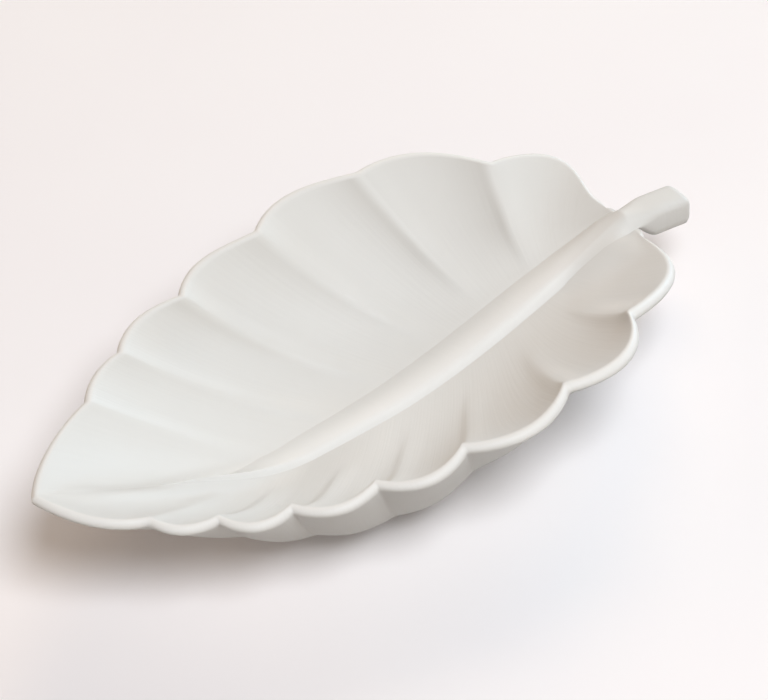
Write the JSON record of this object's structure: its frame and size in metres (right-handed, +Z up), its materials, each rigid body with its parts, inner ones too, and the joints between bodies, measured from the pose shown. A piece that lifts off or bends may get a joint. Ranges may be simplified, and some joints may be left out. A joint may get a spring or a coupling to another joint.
{
  "type": "leaf shaped plate",
  "caption": "Leaf shaped serving plate: a scalloped, dished blade with side veins, a raised midrib that runs out over the rim as a short stem, and an oval foot ring.",
  "frame": {"origin": "on the table, under the middle of the plate's bounding box", "axes": "+X from the leaf's tip to its stem, +Y to the side that has fewer lobes, +Z up out of the dish"},
  "size_m": [0.2723, 0.1546, 0.0521],
  "materials": {
    "glazed_clay": "white satin glaze on fired stoneware",
    "dry_clay": "fired stoneware, glazed on its sides and wiped dry on its standing face"
  },
  "bodies": {
    "root": {"leaf_blade": "glazed_clay", "midrib_stem": "glazed_clay", "foot_ring": "dry_clay"}
  },
  "joints": []
}
